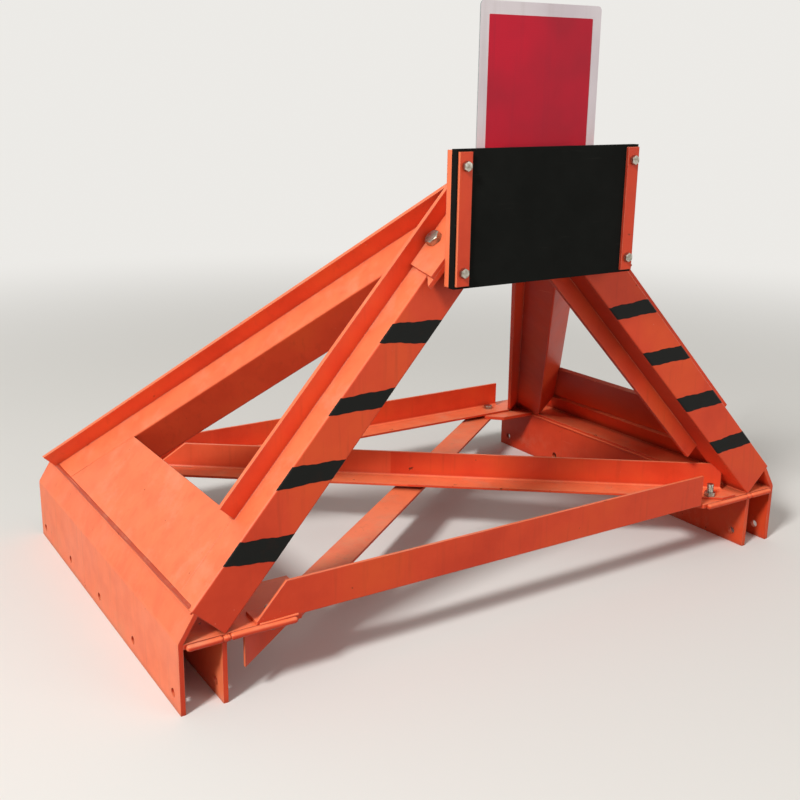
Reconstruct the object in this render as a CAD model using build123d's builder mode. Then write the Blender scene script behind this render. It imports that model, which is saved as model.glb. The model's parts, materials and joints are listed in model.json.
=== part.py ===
"""Railway buffer stop that bolts onto the two rails of a standard-gauge track.

Two shoes straddle the rail heads, and four hat-section legs lean inwards from them like a pyramid.
The legs carry a rubber-faced head plate and a marker board, and angles tie the shoes together.

Millimetres, +Z up. X runs across the track, and +Y is the way a train comes in and pushes.
The origin is at the middle of the outline, level with the lower edges of the skirts.
"""
from build123d import *
import os
from math import asin, atan2, cos, degrees, hypot, radians, sin, tan

os.makedirs("parts", exist_ok=True)

# Track that the shoes fit
TRACK_GAUGE = 1435.0
RAIL_HEAD_WIDTH = 70.0
RAIL_CLEARANCE = 2.5

# Shoes
PLATE = 10.0
SHOE_LENGTH = 960.0
SKIRT_DROP = 132.0
BEND_RADIUS = 12.0
RAIL_BOLT_HOLE = 18.0
RAIL_BOLT_COUNT = 5
RAIL_BOLT_EDGE = 36.0
RAIL_BOLT_RISE = 30.0

# Leaning side frames: front leg, back leg and the plate between their feet
APEX_HEIGHT = 942.0
APEX_CROSSING = 44.5
LEG_PLATE = 10.0
LEG_WIDTH = 91.0
LEG_CORNER = 4.0
LIP_OUTER = 40.0
LIP_INNER = 38.0
FRONT_LEG_DEPTH = 69.0
FRONT_LEG_RAKE = 2.88
BACK_LEG_DEPTH = 91.7
BACK_LEG_DROP = 55.7
BACK_LEG_SETBACK = 59.0
SIDE_PLATE_HEIGHT = 178.0
FOOT_INSET = 1.0
FOOT_FLAT = 2.0
SEAM_SEAT = 3.0

# Head
HEAD_WIDTH = 456.0
HEAD_HEIGHT = 256.0
HEAD_DROP = 73.0
HEAD_PLATE = 14.0
HEAD_SETBACK = 12.0
PAD_THICKNESS = 16.0
PAD_OVERHANG = 2.0
STRIP_WIDTH = 29.0
STRIP_THICKNESS = 6.0
STRIP_INSET = 3.0
PAD_BOLT_EDGE = 29.0
CHEEK_PLATE = 8.0
CHEEK_DROP = 58.2
CHEEK_HEIGHT = 179.0
CHEEK_BOLT_BACK = 79.0
CHEEK_BOLT_RISE = 64.0
CHEEK_SLANT = 16.0
GUSSET_TIP_DROP = 34.0
GUSSET_FOOT_DROP = 10.0

# Marker board behind the head
BOARD_WIDTH = 312.0
BOARD_HEIGHT = 337.0
BOARD_LAP = 70.0
BOARD_SHEET = 3.0
PACKING_THICKNESS = 12.0
PACKING_WIDTH = 40.0
PACKING_HEIGHT = 65.0
PACKING_SPACING = 220.0

# Ties and braces between the shoes, inset from the shoes' inner faces
GUSSET_REACH = 155.0
GUSSET_DEPTH = 160.0
GUSSET_NOSE = 50.0
GUSSET_NOSE_DEPTH = 60.0
REAR_GUSSET_DEPTH = 150.0
REAR_GUSSET_CORNER = 40.0
ANGLE_PLATE = 6.0
ANGLE_ROOT = 6.0
TIE_HEIGHT = 75.0
TIE_WIDTH = 50.0
TIE_LEFT_INSET = 62.0
TIE_RIGHT_INSET = 165.0
TIE_CHAMFER = 63.0
BEAM_SIZE = 75.0
BEAM_INSET = 60.0
BEAM_SETBACK = 32.0
BRACE_SIZE = 70.0
BRACE_OVERRUN = 97.5
UPPER_BRACE_SHIFT = 61.0
UPPER_BRACE_INSET = 45.0
UPPER_CHAMFER_INSET = 271.0
LOWER_BRACE_SHIFT = 58.0
LOWER_BRACE_INSET = 36.0
FRONT_BOLT_INSET = 105.0
FRONT_BOLT_GAUGE = 57.2
REAR_BOLT_INSET = 109.0
REAR_BOLT_EDGE = 62.0

# Hexagon bolts, given by shank diameter, width across flats and head height
HEXAGON = 6
HEXAGON_TURN = 30.0
PAD_BOLT = (10.0, 17.0, 8.0)
CHEEK_BOLT = (20.0, 30.0, 13.0)
BRACE_BOLT = (16.0, 24.0, 10.0)
BOARD_BOLT = (12.0, 19.0, 8.0)
HOLE_CLEARANCE = 2.0
BOLT_STICK_OUT = 4.0

# Across the track: faces of the skirts, measured from the track's centre line
SLOT_INNER = TRACK_GAUGE / 2 - RAIL_CLEARANCE
SLOT_OUTER = TRACK_GAUGE / 2 + RAIL_HEAD_WIDTH + RAIL_CLEARANCE
SHOE_INNER = SLOT_INNER - PLATE
SHOE_OUTER = SLOT_OUTER + PLATE

# Along the track: the bolt heads on the pad are foremost and the shoes' ends are rearmost
HEAD_BACK_TO_FRONT = HEAD_PLATE + PAD_THICKNESS + STRIP_THICKNESS + PAD_BOLT[2]
HEAD_PROUD = HEAD_BACK_TO_FRONT - HEAD_SETBACK
FRONT = -(SHOE_LENGTH - HEAD_PROUD) / 2
REAR = FRONT + SHOE_LENGTH
HEAD_BACK = FRONT + HEAD_SETBACK
HEAD_FRONT = HEAD_BACK - HEAD_PLATE
PAD_FRONT = HEAD_FRONT - PAD_THICKNESS
STRIP_FRONT = PAD_FRONT - STRIP_THICKNESS

# Heights
RAIL_TOP = SKIRT_DROP
SOLE_TOP = RAIL_TOP + PLATE
HEAD_CENTRE = APEX_HEIGHT - HEAD_DROP
BOARD_BOTTOM = HEAD_CENTRE + HEAD_HEIGHT / 2 - BOARD_LAP

# The leaning frame: "up" runs up its slope and "inward" is square to its outer face
FOOT_CORNER = Vector(-(SHOE_INNER + FOOT_INSET), FRONT, SOLE_TOP - FOOT_FLAT)
LEAN = atan2(APEX_CROSSING - FOOT_CORNER.X, APEX_HEIGHT - FOOT_CORNER.Z)
UP = Vector(sin(LEAN), 0, cos(LEAN))
INWARD = Vector(cos(LEAN), 0, -sin(LEAN))
ALONG = Vector(0, 1, 0)
FRAME_ORIGIN = FOOT_CORNER - INWARD * LEG_WIDTH
FRAME_PLANE = Plane(origin=FRAME_ORIGIN, x_dir=ALONG, z_dir=INWARD)
FOOT_PLANE = Plane(origin=FRAME_ORIGIN, z_dir=UP)
SOLE_PLANE = Plane.XY.offset(SOLE_TOP)
APEX_PLANE = Plane.XY.offset(APEX_HEIGHT)

FRONT_RAKE = radians(FRONT_LEG_RAKE)
FRONT_AXIS = UP * cos(FRONT_RAKE) + ALONG * sin(FRONT_RAKE)
FRONT_LEG_PLANE = Plane(origin=FRAME_ORIGIN, x_dir=INWARD, z_dir=FRONT_AXIS)
FRONT_LEG_BACK = Plane(
    origin=FRAME_ORIGIN + FRONT_LEG_PLANE.y_dir * FRONT_LEG_DEPTH, z_dir=FRONT_LEG_PLANE.y_dir
)
APEX_UP = (APEX_HEIGHT - FRAME_ORIGIN.Z) / UP.Z
MEETING_UP = APEX_UP - BACK_LEG_DROP
MEETING_ALONG = FRONT_LEG_DEPTH / cos(FRONT_RAKE) + MEETING_UP * tan(FRONT_RAKE)
BACK_RAKE = atan2(SHOE_LENGTH - BACK_LEG_SETBACK - MEETING_ALONG, MEETING_UP)
BACK_AXIS = UP * cos(BACK_RAKE) - ALONG * sin(BACK_RAKE)
BACK_FOOT = SHOE_LENGTH - BACK_LEG_SETBACK - BACK_LEG_DEPTH / cos(BACK_RAKE)
BACK_LEG_PLANE = Plane(origin=FRAME_ORIGIN + ALONG * BACK_FOOT, x_dir=INWARD, z_dir=BACK_AXIS)
LEG_LENGTH = 2 * APEX_HEIGHT
LEG_START = LEG_WIDTH + LIP_OUTER + BACK_LEG_DEPTH
LEG_ENDS = [
    (FOOT_PLANE, Keep.TOP),
    (SOLE_PLANE, Keep.TOP),
    (APEX_PLANE, Keep.BOTTOM),
    (Plane.YZ, Keep.BOTTOM),
]
CHEEK_TOP = APEX_UP - CHEEK_DROP
CHEEK_BOTTOM = CHEEK_TOP - CHEEK_HEIGHT

# Diagonals in plan
BRACE_SLOPE = (SHOE_LENGTH + BRACE_OVERRUN) / (2 * SHOE_INNER)
BRACE_STRETCH = hypot(1, BRACE_SLOPE)
UPPER_BRACE_MIDDLE = FRONT + SHOE_LENGTH / 2 + UPPER_BRACE_SHIFT + ANGLE_PLATE * BRACE_STRETCH
LOWER_BRACE_MIDDLE = FRONT + SHOE_LENGTH / 2 - LOWER_BRACE_SHIFT

# Places of the bolts
RAIL_BOLT_PITCH = (SHOE_LENGTH - 2 * RAIL_BOLT_EDGE) / (RAIL_BOLT_COUNT - 1)
RAIL_BOLT_PLACES = [
    (FRONT + RAIL_BOLT_EDGE + step * RAIL_BOLT_PITCH, RAIL_BOLT_RISE) for step in range(RAIL_BOLT_COUNT)
]
CHEEK_BOLT_PLACE = (CHEEK_BOLT_BACK, CHEEK_BOTTOM + CHEEK_BOLT_RISE)
FRONT_BOLT_ACROSS = SHOE_INNER - FRONT_BOLT_INSET
FRONT_BOLT_ALONG = UPPER_BRACE_MIDDLE - BRACE_SLOPE * FRONT_BOLT_ACROSS - FRONT_BOLT_GAUGE * BRACE_STRETCH
FRONT_BRACE_BOLT = (FRONT_BOLT_ACROSS, FRONT_BOLT_ALONG)
REAR_BRACE_BOLT = (SHOE_INNER - REAR_BOLT_INSET, REAR - REAR_BOLT_EDGE)
PAD_BOLT_ACROSS = HEAD_WIDTH / 2 - STRIP_INSET - STRIP_WIDTH / 2
PAD_BOLT_PLACES = [
    (across * PAD_BOLT_ACROSS, HEAD_CENTRE + up * (HEAD_HEIGHT / 2 - PAD_BOLT_EDGE))
    for across in (-1, 1)
    for up in (-1, 1)
]
PACKING_CENTRE = BOARD_BOTTOM + PACKING_HEIGHT / 2
BOARD_BOLT_PLACES = [(across * PACKING_SPACING / 2, PACKING_CENTRE) for across in (-1, 1)]


def finish(shape, name):
    """Label a finished piece and write it out."""
    shape.label = name
    export_step(shape, f"parts/{name}.step")


def finish_pair(left, name):
    """Write a left-hand piece, and its mirror image on the right-hand side."""
    finish(left, f"{name}_left")
    finish(mirror(left, about=Plane.YZ), f"{name}_right")


def front_leg_edge(depth, up):
    """Place along the frame of the line this deep into the front leg, at a height up the slope."""
    return depth / cos(FRONT_RAKE) + up * tan(FRONT_RAKE)


def back_leg_edge(up):
    """Place along the frame of the back leg's face, at a height up the slope."""
    return BACK_FOOT - up * tan(BACK_RAKE)


def leg_flat(plane, start, corner, width, thickness, ends):
    """One flat of a leg, from a corner of the leg's section, cut off at the leg's ends."""
    with BuildPart() as flat:
        with BuildSketch(plane.offset(start)):
            with Locations(corner):
                Rectangle(width, thickness, align=Align.MIN)
        extrude(amount=LEG_LENGTH - start)
        for end, side in ends:
            split(bisect_by=end, keep=side)
    return flat


def leg_face(plane, ends):
    """Front flat of a leg, with its two long corners rounded."""
    with BuildPart() as face:
        with BuildSketch(plane.offset(-LEG_START)):
            outline = Rectangle(LEG_WIDTH, LEG_PLATE, align=Align.MIN)
            fillet(outline.vertices().group_by(Axis.Y)[0], LEG_CORNER)
        extrude(amount=LEG_START + LEG_LENGTH)
        for end, side in ends:
            split(bisect_by=end, keep=side)
    return face


def hat_leg(plane, depth, lip_start, ends):
    """Hat section welded up from five flats: a face, two walls and a lip outside each wall's rear edge.

    The plane's X runs inwards across the face and its Y runs back along the walls.
    """
    wall = depth - LEG_PLATE
    far_wall = LEG_WIDTH - LEG_PLATE
    face = leg_face(plane, ends)
    outer_wall = leg_flat(plane, -LEG_START, (0, LEG_PLATE), LEG_PLATE, wall, ends)
    inner_wall = leg_flat(plane, -LEG_START, (far_wall, LEG_PLATE), LEG_PLATE, wall, ends)
    outer_lip = leg_flat(plane, lip_start, (-LIP_OUTER, wall), LIP_OUTER, LEG_PLATE, ends)
    inner_lip = leg_flat(plane, lip_start, (LEG_WIDTH, wall), LIP_INNER, LEG_PLATE, ends)
    return [outer_wall, face, inner_wall, outer_lip, inner_lip]


def frame_plate(plane, thickness, *outline):
    """Flat plate with its outline drawn in a plane: along the track, then up the slope."""
    with BuildPart() as plate:
        with BuildSketch(plane):
            with BuildLine():
                Polyline(*outline, close=True)
            make_face()
        extrude(amount=thickness)
    return plate


def angle_bar(plane, height, width, length):
    """Rolled angle with its heel at the plane's origin and its two legs along the plane's X and Y."""
    with BuildPart() as bar:
        with BuildSketch(plane) as section:
            with BuildLine():
                Polyline(
                    (0, 0), (width, 0), (width, ANGLE_PLATE), (ANGLE_PLATE, ANGLE_PLATE),
                    (ANGLE_PLATE, height), (0, height),
                    close=True,
                )
            make_face()
            root = section.vertices().sort_by_distance((ANGLE_PLATE, ANGLE_PLATE))[0]
            fillet(root, ANGLE_ROOT)
        extrude(amount=length)
    return bar


def hex_bolt(plane, size, grip, nut=True):
    """Hexagon bolt with its head seated on the plane, and a nut behind what it clamps."""
    shank, flats, head = size
    with BuildPart() as bolt:
        with BuildSketch(plane):
            RegularPolygon(flats / 2, HEXAGON, major_radius=False, rotation=HEXAGON_TURN)
        extrude(amount=head)
        with BuildSketch(plane):
            Circle(shank / 2)
        extrude(amount=-(grip + head + BOLT_STICK_OUT if nut else grip))
        if nut:
            with BuildSketch(plane.offset(-grip)):
                RegularPolygon(flats / 2, HEXAGON, major_radius=False, rotation=HEXAGON_TURN)
            extrude(amount=-head)
    return bolt


def drills(plane, places, diameter, depth):
    """Cylinders to take out of a piece as holes, from a plane and against its direction."""
    with BuildPart() as cutters:
        with BuildSketch(plane):
            with Locations(*places):
                Circle(diameter / 2)
        extrude(amount=-depth)
    return cutters.part


def bolt_drills(along, places, bolt, depth):
    """Clearance holes for bolts that run along the track, from the front face of a plate."""
    return drills(Plane.XZ.offset(-along), places, bolt[0] + HOLE_CLEARANCE, depth)


def bolt_set(seats, size, grip, nut=True):
    """Like bolts, one on each seat plane."""
    return [hex_bolt(seat, size, grip, nut).part for seat in seats]


def mirrored(places):
    """Places on the left-hand side for the same places on the right."""
    return [(-across, along) for across, along in places]


# Skirts and sole of the left-hand shoe
track_section = Plane.XZ.offset(-FRONT)
seam = FRAME_ORIGIN + INWARD * (LEG_PLATE - SEAM_SEAT)
bend_run = seam.X + SHOE_OUTER - BEND_RADIUS
bend_rise = seam.Z - SOLE_TOP
bend_angle = degrees(atan2(bend_run, bend_rise) + asin(BEND_RADIUS / hypot(bend_run, bend_rise)))

outer_skirt_holes = drills(Plane.YZ.offset(-SLOT_OUTER), RAIL_BOLT_PLACES, RAIL_BOLT_HOLE, PLATE)
with BuildPart() as outer_skirt:
    with BuildSketch(track_section):
        with BuildLine():
            upright = Line((-SHOE_OUTER, 0), (-SHOE_OUTER, SOLE_TOP))
            bend = JernArc(upright @ 1, upright % 1, BEND_RADIUS, -bend_angle)
            PolarLine(bend @ 1, 2 * bend_rise, direction=bend % 1)
            offset(amount=PLATE, side=Side.RIGHT)
        make_face()
    extrude(amount=-SHOE_LENGTH)
    split(bisect_by=FOOT_PLANE, keep=Keep.BOTTOM)
    add(outer_skirt_holes, mode=Mode.SUBTRACT)
finish_pair(outer_skirt.part, "outer_skirt")

inner_skirt_holes = drills(Plane.YZ.offset(-SHOE_INNER), RAIL_BOLT_PLACES, RAIL_BOLT_HOLE, PLATE)
with BuildPart() as inner_skirt:
    with BuildSketch(track_section):
        with Locations((-SLOT_INNER, 0)):
            Rectangle(PLATE, SOLE_TOP, align=Align.MIN)
    extrude(amount=-SHOE_LENGTH)
    add(inner_skirt_holes, mode=Mode.SUBTRACT)
finish_pair(inner_skirt.part, "inner_skirt")

with BuildPart() as sole_plate:
    with BuildSketch(track_section):
        with Locations((-SLOT_OUTER, RAIL_TOP)):
            Rectangle(SLOT_OUTER - SLOT_INNER, PLATE, align=Align.MIN)
    extrude(amount=-SHOE_LENGTH)
finish_pair(sole_plate.part, "sole_plate")

# Corner gussets, level with the sole, that the ties and braces bolt to
gusset_edge = SHOE_INNER - GUSSET_REACH
front_gusset_holes = drills(SOLE_PLANE, mirrored([FRONT_BRACE_BOLT]), BRACE_BOLT[0] + HOLE_CLEARANCE, PLATE)
with BuildPart() as front_gusset:
    with BuildSketch(Plane.XY.offset(RAIL_TOP)):
        with BuildLine():
            Polyline(
                (-SHOE_INNER, FRONT),
                (-gusset_edge, FRONT),
                (-gusset_edge + GUSSET_NOSE, FRONT + GUSSET_NOSE_DEPTH),
                (-gusset_edge + GUSSET_NOSE, FRONT + GUSSET_DEPTH),
                (-SHOE_INNER, FRONT + GUSSET_DEPTH),
                close=True,
            )
        make_face()
    extrude(amount=PLATE)
    add(front_gusset_holes, mode=Mode.SUBTRACT)
finish_pair(front_gusset.part, "front_gusset")

rear_gusset_holes = drills(SOLE_PLANE, mirrored([REAR_BRACE_BOLT]), BRACE_BOLT[0] + HOLE_CLEARANCE, PLATE)
with BuildPart() as rear_gusset:
    with BuildSketch(Plane.XY.offset(RAIL_TOP)):
        with Locations((-SHOE_INNER, REAR - REAR_GUSSET_DEPTH)):
            blank = Rectangle(GUSSET_REACH, REAR_GUSSET_DEPTH, align=Align.MIN)
        inner_corner = blank.vertices().group_by(Axis.Y)[0].sort_by(Axis.X)[-1]
        chamfer(inner_corner, REAR_GUSSET_CORNER)
    extrude(amount=PLATE)
    add(rear_gusset_holes, mode=Mode.SUBTRACT)
finish_pair(rear_gusset.part, "rear_gusset")

# Leaning side frame of the left-hand shoe
side_plate = frame_plate(
    FRAME_PLANE,
    LEG_PLATE,
    (front_leg_edge(FRONT_LEG_DEPTH, 0), 0),
    (back_leg_edge(0), 0),
    (back_leg_edge(SIDE_PLATE_HEIGHT), SIDE_PLATE_HEIGHT),
    (front_leg_edge(FRONT_LEG_DEPTH, SIDE_PLATE_HEIGHT), SIDE_PLATE_HEIGHT),
)
finish_pair(side_plate.part, "side_plate")

cheek_hole = CHEEK_BOLT[0] + HOLE_CLEARANCE
front_leg_flats = hat_leg(FRONT_LEG_PLANE, FRONT_LEG_DEPTH, SIDE_PLATE_HEIGHT, LEG_ENDS)
front_leg_hole = drills(FRAME_PLANE.offset(LEG_PLATE), [CHEEK_BOLT_PLACE], cheek_hole, LEG_PLATE)
with BuildPart() as drilled_wall:
    add(front_leg_flats[0].part)
    add(front_leg_hole, mode=Mode.SUBTRACT)
front_leg_flats[0] = drilled_wall
finish_pair(Compound([flat.part.solid() for flat in front_leg_flats]), "front_leg")

back_leg_ends = LEG_ENDS + [(FRONT_LEG_BACK, Keep.TOP)]
back_leg_flats = hat_leg(BACK_LEG_PLANE, BACK_LEG_DEPTH, -LEG_START, back_leg_ends)
finish_pair(Compound([flat.part.solid() for flat in back_leg_flats]), "back_leg")

# Plates that carry the head: a gusset in line with the leg's outer wall and a cheek lapped over both
gusset_foot = CHEEK_BOTTOM - GUSSET_FOOT_DROP
head_gusset = frame_plate(
    FRAME_PLANE,
    LEG_PLATE,
    (HEAD_SETBACK, CHEEK_BOTTOM - GUSSET_TIP_DROP),
    (front_leg_edge(0, gusset_foot), gusset_foot),
    (front_leg_edge(0, CHEEK_TOP), CHEEK_TOP),
    (HEAD_SETBACK, CHEEK_TOP),
)
finish_pair(head_gusset.part, "head_gusset")

lip_front = FRONT_LEG_DEPTH - LEG_PLATE
cheek_blank = frame_plate(
    FRAME_PLANE.offset(-CHEEK_PLATE),
    CHEEK_PLATE,
    (HEAD_SETBACK, CHEEK_BOTTOM - CHEEK_SLANT),
    (front_leg_edge(lip_front, CHEEK_BOTTOM), CHEEK_BOTTOM),
    (front_leg_edge(lip_front, CHEEK_TOP), CHEEK_TOP),
    (HEAD_SETBACK, CHEEK_TOP),
)
cheek_plate_hole = drills(FRAME_PLANE, [CHEEK_BOLT_PLACE], cheek_hole, CHEEK_PLATE)
with BuildPart() as cheek_plate:
    add(cheek_blank.part)
    add(cheek_plate_hole, mode=Mode.SUBTRACT)
finish_pair(cheek_plate.part, "cheek_plate")

cheek_bolt_seat = FRAME_PLANE.from_local_coords((*CHEEK_BOLT_PLACE, -CHEEK_PLATE))
cheek_bolt = hex_bolt(
    Plane(origin=cheek_bolt_seat, x_dir=ALONG, z_dir=-INWARD), CHEEK_BOLT, CHEEK_PLATE + LEG_PLATE
)
finish_pair(cheek_bolt.part, "cheek_bolt")

# Head: steel plate, rubber pad and the two strips that clamp it
head_pad_holes = bolt_drills(HEAD_FRONT, PAD_BOLT_PLACES, PAD_BOLT, HEAD_PLATE)
head_board_holes = bolt_drills(HEAD_FRONT, BOARD_BOLT_PLACES, BOARD_BOLT, HEAD_PLATE)
with BuildPart() as head_plate:
    with BuildSketch(Plane.XZ.offset(-HEAD_FRONT)):
        with Locations((0, HEAD_CENTRE)):
            Rectangle(HEAD_WIDTH, HEAD_HEIGHT)
    extrude(amount=-HEAD_PLATE)
    add(head_pad_holes, mode=Mode.SUBTRACT)
    add(head_board_holes, mode=Mode.SUBTRACT)
finish(head_plate.part, "head_plate")

rubber_pad_holes = bolt_drills(PAD_FRONT, PAD_BOLT_PLACES, PAD_BOLT, PAD_THICKNESS)
with BuildPart() as rubber_pad:
    with BuildSketch(Plane.XZ.offset(-PAD_FRONT)):
        with Locations((0, HEAD_CENTRE)):
            Rectangle(HEAD_WIDTH, HEAD_HEIGHT + 2 * PAD_OVERHANG)
    extrude(amount=-PAD_THICKNESS)
    add(rubber_pad_holes, mode=Mode.SUBTRACT)
finish(rubber_pad.part, "rubber_pad")

clamp_strip_holes = bolt_drills(STRIP_FRONT, PAD_BOLT_PLACES, PAD_BOLT, STRIP_THICKNESS)
with BuildPart() as clamp_strip:
    with BuildSketch(Plane.XZ.offset(-STRIP_FRONT)):
        with Locations((-PAD_BOLT_ACROSS, HEAD_CENTRE)):
            Rectangle(STRIP_WIDTH, HEAD_HEIGHT - 2 * STRIP_INSET)
    extrude(amount=-STRIP_THICKNESS)
    add(clamp_strip_holes, mode=Mode.SUBTRACT)
finish_pair(clamp_strip.part, "clamp_strip")

pad_bolt_grip = STRIP_THICKNESS + PAD_THICKNESS + HEAD_PLATE
pad_bolt_seats = [
    Plane(origin=(across, STRIP_FRONT, up), x_dir=(1, 0, 0), z_dir=(0, -1, 0))
    for across, up in PAD_BOLT_PLACES
]
pad_bolt_set = bolt_set(pad_bolt_seats, PAD_BOLT, pad_bolt_grip, nut=False)
with BuildPart() as pad_bolts:
    add(pad_bolt_set)
finish(pad_bolts.part, "pad_bolts")

# Marker board, held off the back of the head plate by two packing flats
board_front = HEAD_BACK + PACKING_THICKNESS
board_back = board_front + BOARD_SHEET
marker_board_holes = bolt_drills(board_front, BOARD_BOLT_PLACES, BOARD_BOLT, BOARD_SHEET)
with BuildPart() as marker_board:
    with BuildSketch(Plane.XZ.offset(-board_front)):
        with Locations((0, BOARD_BOTTOM + BOARD_HEIGHT / 2)):
            Rectangle(BOARD_WIDTH, BOARD_HEIGHT)
    extrude(amount=-BOARD_SHEET)
    add(marker_board_holes, mode=Mode.SUBTRACT)
finish(marker_board.part, "marker_board")

board_packing_holes = bolt_drills(HEAD_BACK, BOARD_BOLT_PLACES, BOARD_BOLT, PACKING_THICKNESS)
with BuildPart() as board_packing:
    with BuildSketch(Plane.XZ.offset(-HEAD_BACK)):
        with Locations((-PACKING_SPACING / 2, PACKING_CENTRE)):
            Rectangle(PACKING_WIDTH, PACKING_HEIGHT)
    extrude(amount=-PACKING_THICKNESS)
    add(board_packing_holes, mode=Mode.SUBTRACT)
finish_pair(board_packing.part, "board_packing")

board_bolt_grip = BOARD_SHEET + PACKING_THICKNESS + HEAD_PLATE / 2
board_bolt_seats = [
    Plane(origin=(across, board_back, up), x_dir=(1, 0, 0), z_dir=(0, 1, 0))
    for across, up in BOARD_BOLT_PLACES
]
board_bolt_set = bolt_set(board_bolt_seats, BOARD_BOLT, board_bolt_grip, nut=False)
with BuildPart() as board_bolts:
    add(board_bolt_set)
finish(board_bolts.part, "board_bolts")

# Front tie, on top of the front gussets, with its left-hand end cut back at the top
tie_left = TIE_LEFT_INSET - SHOE_INNER
tie_right = SHOE_INNER - TIE_RIGHT_INSET
tie_blank = angle_bar(
    Plane(origin=(tie_left, FRONT, SOLE_TOP), x_dir=ALONG, z_dir=(1, 0, 0)),
    TIE_HEIGHT, TIE_WIDTH, tie_right - tie_left,
)
brace_hole = BRACE_BOLT[0] + HOLE_CLEARANCE
tie_top = SOLE_TOP + TIE_HEIGHT
flange_top = SOLE_TOP + ANGLE_PLATE
front_tie_holes = drills(Plane.XY.offset(flange_top), mirrored([FRONT_BRACE_BOLT]), brace_hole, ANGLE_PLATE)
with BuildPart() as front_tie:
    add(tie_blank.part)
    with BuildSketch(track_section):
        with BuildLine():
            Polyline(
                (tie_left, flange_top), (tie_left + TIE_CHAMFER, tie_top), (tie_left, tie_top), close=True
            )
        make_face()
    extrude(amount=-TIE_WIDTH, mode=Mode.SUBTRACT)
    add(front_tie_holes, mode=Mode.SUBTRACT)
finish(front_tie.part, "front_tie")

# Rear beam, on top of the rear gussets, with its flange towards the front
beam_heel = REAR - BEAM_SETBACK
beam_half = SHOE_INNER - BEAM_INSET
beam_blank = angle_bar(
    Plane(origin=(beam_half, beam_heel, SOLE_TOP), x_dir=-ALONG, z_dir=(-1, 0, 0)),
    BEAM_SIZE, BEAM_SIZE, 2 * beam_half,
)
rear_bolts = [REAR_BRACE_BOLT] + mirrored([REAR_BRACE_BOLT])
rear_beam_holes = drills(Plane.XY.offset(flange_top), rear_bolts, brace_hole, ANGLE_PLATE)
with BuildPart() as rear_beam:
    add(beam_blank.part)
    add(rear_beam_holes, mode=Mode.SUBTRACT)
finish(rear_beam.part, "rear_beam")

# Diagonals that cross in plan: the upper one lies on the gussets and the lower one hangs under them
beam_root = beam_heel - ANGLE_PLATE - ANGLE_ROOT
beam_flange_edge = beam_heel - BEAM_SIZE
right_wall = Plane(
    origin=(-FOOT_CORNER.X, FRONT, FOOT_CORNER.Z), z_dir=Vector(-INWARD.X, 0, INWARD.Z)
)
brace_rise = BRACE_SLOPE * SHOE_INNER
brace_length = 2 * SHOE_INNER * BRACE_STRETCH
upper_blank = angle_bar(
    Plane(
        origin=(SHOE_INNER, UPPER_BRACE_MIDDLE - brace_rise, SOLE_TOP),
        x_dir=Vector(-BRACE_SLOPE, -1, 0),
        z_dir=Vector(-1, BRACE_SLOPE, 0),
    ),
    BRACE_SIZE, BRACE_SIZE, brace_length,
)
chamfer_top = UPPER_CHAMFER_INSET - SHOE_INNER
upper_chamfer = Plane(origin=(chamfer_top, 0, SOLE_TOP + BRACE_SIZE), z_dir=(-1, 0, 1))
upper_diagonal_holes = drills(Plane.XY.offset(flange_top), [FRONT_BRACE_BOLT], brace_hole, ANGLE_PLATE)
with BuildPart() as upper_diagonal:
    add(upper_blank.part)
    split(bisect_by=Plane.YZ.offset(SHOE_INNER - UPPER_BRACE_INSET), keep=Keep.BOTTOM)
    split(bisect_by=right_wall, keep=Keep.TOP)
    split(bisect_by=Plane.XZ.offset(-FRONT), keep=Keep.BOTTOM)
    split(bisect_by=Plane.XZ.offset(-beam_root), keep=Keep.TOP)
    split(bisect_by=upper_chamfer, keep=Keep.BOTTOM)
    with BuildSketch(SOLE_PLANE):
        with Locations((-beam_half, beam_flange_edge)):
            Rectangle(2 * beam_half, BEAM_SIZE, align=Align.MIN)
    extrude(amount=ANGLE_PLATE, mode=Mode.SUBTRACT)
    add(upper_diagonal_holes, mode=Mode.SUBTRACT)
finish(upper_diagonal.part, "upper_diagonal")

lower_blank = angle_bar(
    Plane(
        origin=(-SHOE_INNER, LOWER_BRACE_MIDDLE - brace_rise + BRACE_SIZE * BRACE_STRETCH, RAIL_TOP),
        x_dir=Vector(BRACE_SLOPE, -1, 0),
        z_dir=Vector(1, BRACE_SLOPE, 0),
    ),
    BRACE_SIZE, BRACE_SIZE, brace_length,
)
both_sides = mirrored([FRONT_BRACE_BOLT]) + [REAR_BRACE_BOLT]
lower_diagonal_holes = drills(Plane.XY.offset(RAIL_TOP), both_sides, brace_hole, ANGLE_PLATE)
with BuildPart() as lower_diagonal:
    add(lower_blank.part)
    split(bisect_by=Plane.YZ.offset(SHOE_INNER - LOWER_BRACE_INSET), keep=Keep.BOTTOM)
    split(bisect_by=Plane.YZ.offset(LOWER_BRACE_INSET - SHOE_INNER), keep=Keep.TOP)
    split(bisect_by=Plane.XZ.offset(-FRONT), keep=Keep.BOTTOM)
    split(bisect_by=Plane.XZ.offset(-REAR), keep=Keep.TOP)
    add(lower_diagonal_holes, mode=Mode.SUBTRACT)
finish(lower_diagonal.part, "lower_diagonal")

# Bolts down through the gussets: two clamp an angle above and below, and two clamp one above only
top_side = [FRONT_BRACE_BOLT] + mirrored([REAR_BRACE_BOLT])
double_seats = [Plane(origin=(across, along, flange_top)) for across, along in both_sides]
single_seats = [Plane(origin=(across, along, flange_top)) for across, along in top_side]
brace_bolt_set = bolt_set(double_seats, BRACE_BOLT, PLATE + 2 * ANGLE_PLATE)
brace_bolt_set += bolt_set(single_seats, BRACE_BOLT, PLATE + ANGLE_PLATE)
with BuildPart() as brace_bolts:
    add(brace_bolt_set)
finish(brace_bolts.part, "brace_bolts")
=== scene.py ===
"""Looks of a bolt-on railway buffer stop: painted steel plate, rubber pad, marker board, welds and bolts."""

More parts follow.
